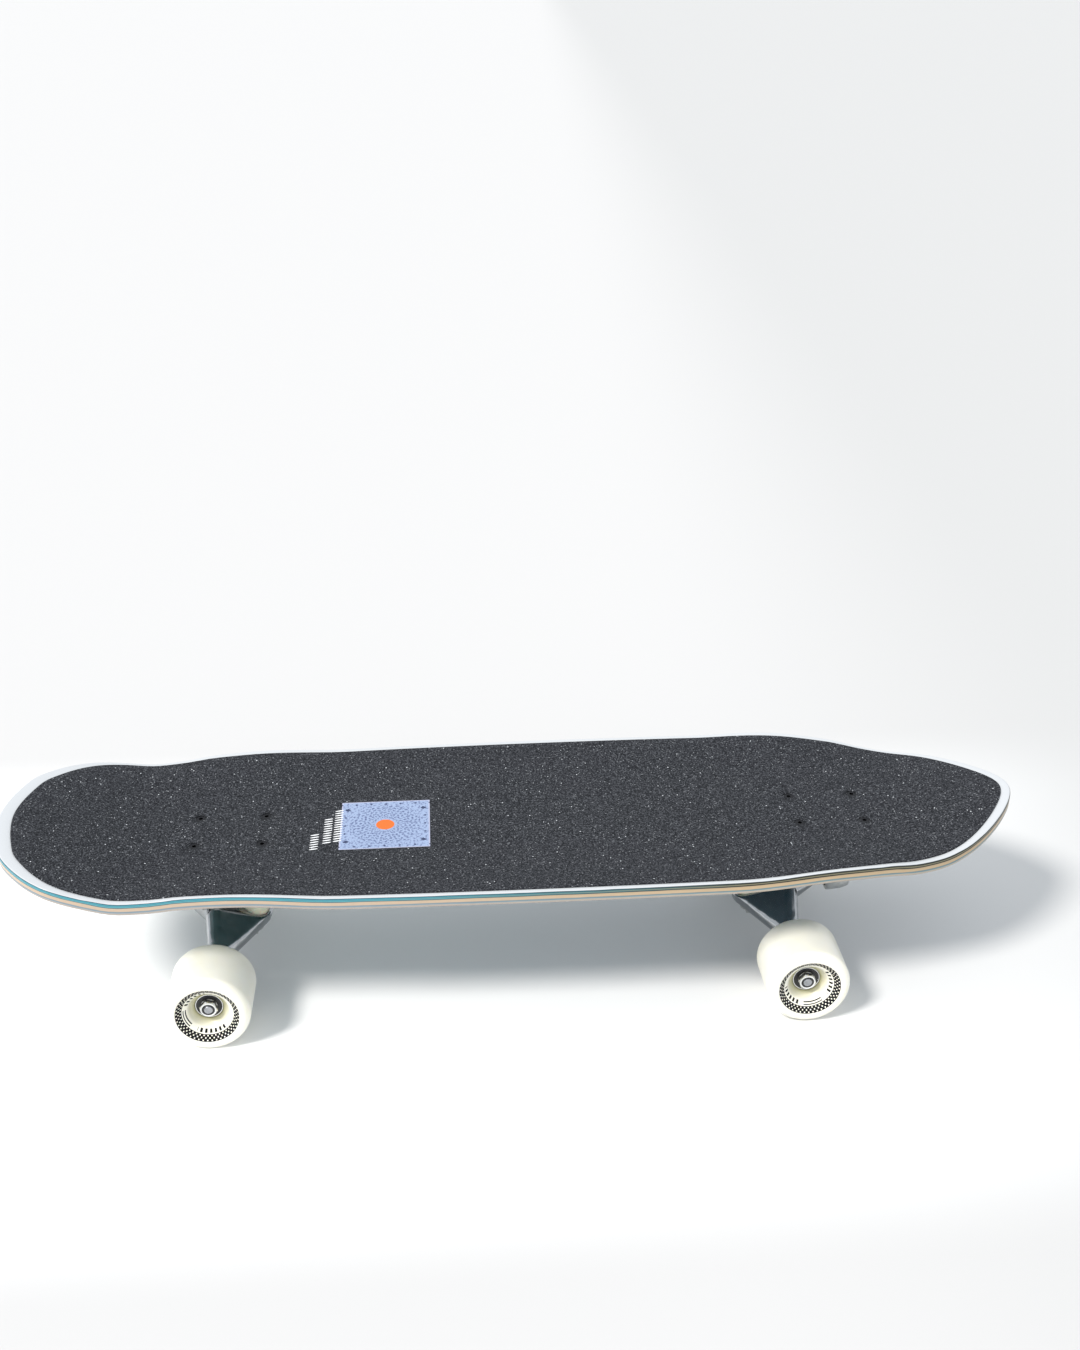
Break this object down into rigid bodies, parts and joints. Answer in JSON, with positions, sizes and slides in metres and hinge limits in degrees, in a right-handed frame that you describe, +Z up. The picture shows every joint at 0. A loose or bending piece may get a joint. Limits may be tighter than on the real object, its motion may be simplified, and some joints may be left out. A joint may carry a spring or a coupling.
{
  "type": "surf skateboard",
  "caption": "Skateboard with a kicked maple deck, black grip tape, a swinging front truck, a fixed rear truck and wide ivory wheels.",
  "frame": {"origin": "on the ground, under the middle of the deck's length and width", "axes": "+X from the nose to the tail, +Y to the rider's right as they face the nose, +Z up"},
  "size_m": [0.825, 0.24, 0.1484],
  "materials": {
    "maple": "satin lacquer over stacked plies, white painted top ply",
    "grip_grit": "coarse grit, matt",
    "cast_aluminium": "polished",
    "zinc_steel": "satin plated",
    "black_steel": "black oxide",
    "ivory_urethane": "moulded urethane, soft gloss",
    "bushing_urethane": "moulded urethane, slightly clear",
    "black_rubber": "matt",
    "spring_steel": "drawn wire"
  },
  "bodies": {
    "board": {"deck": "maple", "grip_tape": "grip_grit", "front_bolt_1": "black_steel", "front_bolt_2": "black_steel", "front_bolt_3": "black_steel", "front_bolt_4": "black_steel", "rear_bolt_1": "black_steel", "rear_bolt_2": "black_steel", "rear_bolt_3": "black_steel", "rear_bolt_4": "black_steel", "front_nut_1": "zinc_steel", "front_nut_2": "zinc_steel", "front_nut_3": "zinc_steel", "front_nut_4": "zinc_steel", "rear_nut_1": "zinc_steel", "rear_nut_2": "zinc_steel", "rear_nut_3": "zinc_steel", "rear_nut_4": "zinc_steel", "front_shock_pad": "black_rubber", "rear_shock_pad": "black_rubber", "front_adapter_base": "cast_aluminium", "front_swivel_nut": "zinc_steel", "rear_baseplate": "cast_aluminium", "rear_kingpin": "zinc_steel", "rear_kingpin_nut": "zinc_steel", "rear_boardside_washer": "zinc_steel", "rear_roadside_washer": "zinc_steel", "rear_boardside_bushing": "bushing_urethane", "rear_roadside_bushing": "bushing_urethane", "rear_pivot_cup": "black_rubber"},
    "front_arm": {"front_swing_arm": "cast_aluminium", "front_swivel_pin": "zinc_steel", "front_return_spring": "spring_steel", "front_kingpin": "zinc_steel", "front_kingpin_nut": "zinc_steel", "front_boardside_washer": "zinc_steel", "front_roadside_washer": "zinc_steel", "front_boardside_bushing": "bushing_urethane", "front_roadside_bushing": "bushing_urethane", "front_pivot_cup": "black_rubber"},
    "front_hanger": {"front_hanger": "cast_aluminium", "front_axle": "zinc_steel", "front_left_axle_nut": "zinc_steel", "front_right_axle_nut": "zinc_steel"},
    "rear_hanger": {"rear_hanger": "cast_aluminium", "rear_axle": "zinc_steel", "rear_left_axle_nut": "zinc_steel", "rear_right_axle_nut": "zinc_steel"},
    "front_left_wheel": {"front_left_wheel": "ivory_urethane", "front_left_outer_bearing": "zinc_steel", "front_left_inner_bearing": "zinc_steel"},
    "front_right_wheel": {"front_right_wheel": "ivory_urethane", "front_right_outer_bearing": "zinc_steel", "front_right_inner_bearing": "zinc_steel"},
    "rear_left_wheel": {"rear_left_wheel": "ivory_urethane", "rear_left_outer_bearing": "zinc_steel", "rear_left_inner_bearing": "zinc_steel"},
    "rear_right_wheel": {"rear_right_wheel": "ivory_urethane", "rear_right_outer_bearing": "zinc_steel", "rear_right_inner_bearing": "zinc_steel"}
  },
  "joints": [
    {"name": "front_swivel", "type": "hinge", "parent": "board", "child": "front_arm", "pos_m": [-0.2127, 0, 0.091], "axis": [0, 0, 1], "range_deg": [-25, 25], "stiffness_Nm_per_rad": 8},
    {"name": "front_tilt", "type": "hinge", "parent": "front_arm", "child": "front_hanger", "pos_m": [-0.2192, 0, 0.0445], "axis": [-0.955, 0, 0.2966], "range_deg": [-10, 10], "stiffness_Nm_per_rad": 40, "deforming": ["front_boardside_bushing", "front_roadside_bushing"]},
    {"name": "rear_tilt", "type": "hinge", "parent": "board", "child": "rear_hanger", "pos_m": [0.1993, 0, 0.0445], "axis": [0.9806, 0, 0.1961], "range_deg": [-10, 10], "stiffness_Nm_per_rad": 40, "deforming": ["rear_boardside_bushing", "rear_roadside_bushing"]},
    {"name": "front_left_spin", "type": "hinge", "parent": "front_hanger", "child": "front_left_wheel", "pos_m": [-0.2442, -0.0945, 0.033], "axis": [0, 1, 0], "continuous": true},
    {"name": "front_right_spin", "type": "hinge", "parent": "front_hanger", "child": "front_right_wheel", "pos_m": [-0.2442, 0.0945, 0.033], "axis": [0, 1, 0], "continuous": true},
    {"name": "rear_left_spin", "type": "hinge", "parent": "rear_hanger", "child": "rear_left_wheel", "pos_m": [0.2243, -0.0945, 0.033], "axis": [0, 1, 0], "continuous": true},
    {"name": "rear_right_spin", "type": "hinge", "parent": "rear_hanger", "child": "rear_right_wheel", "pos_m": [0.2243, 0.0945, 0.033], "axis": [0, 1, 0], "continuous": true}
  ]
}
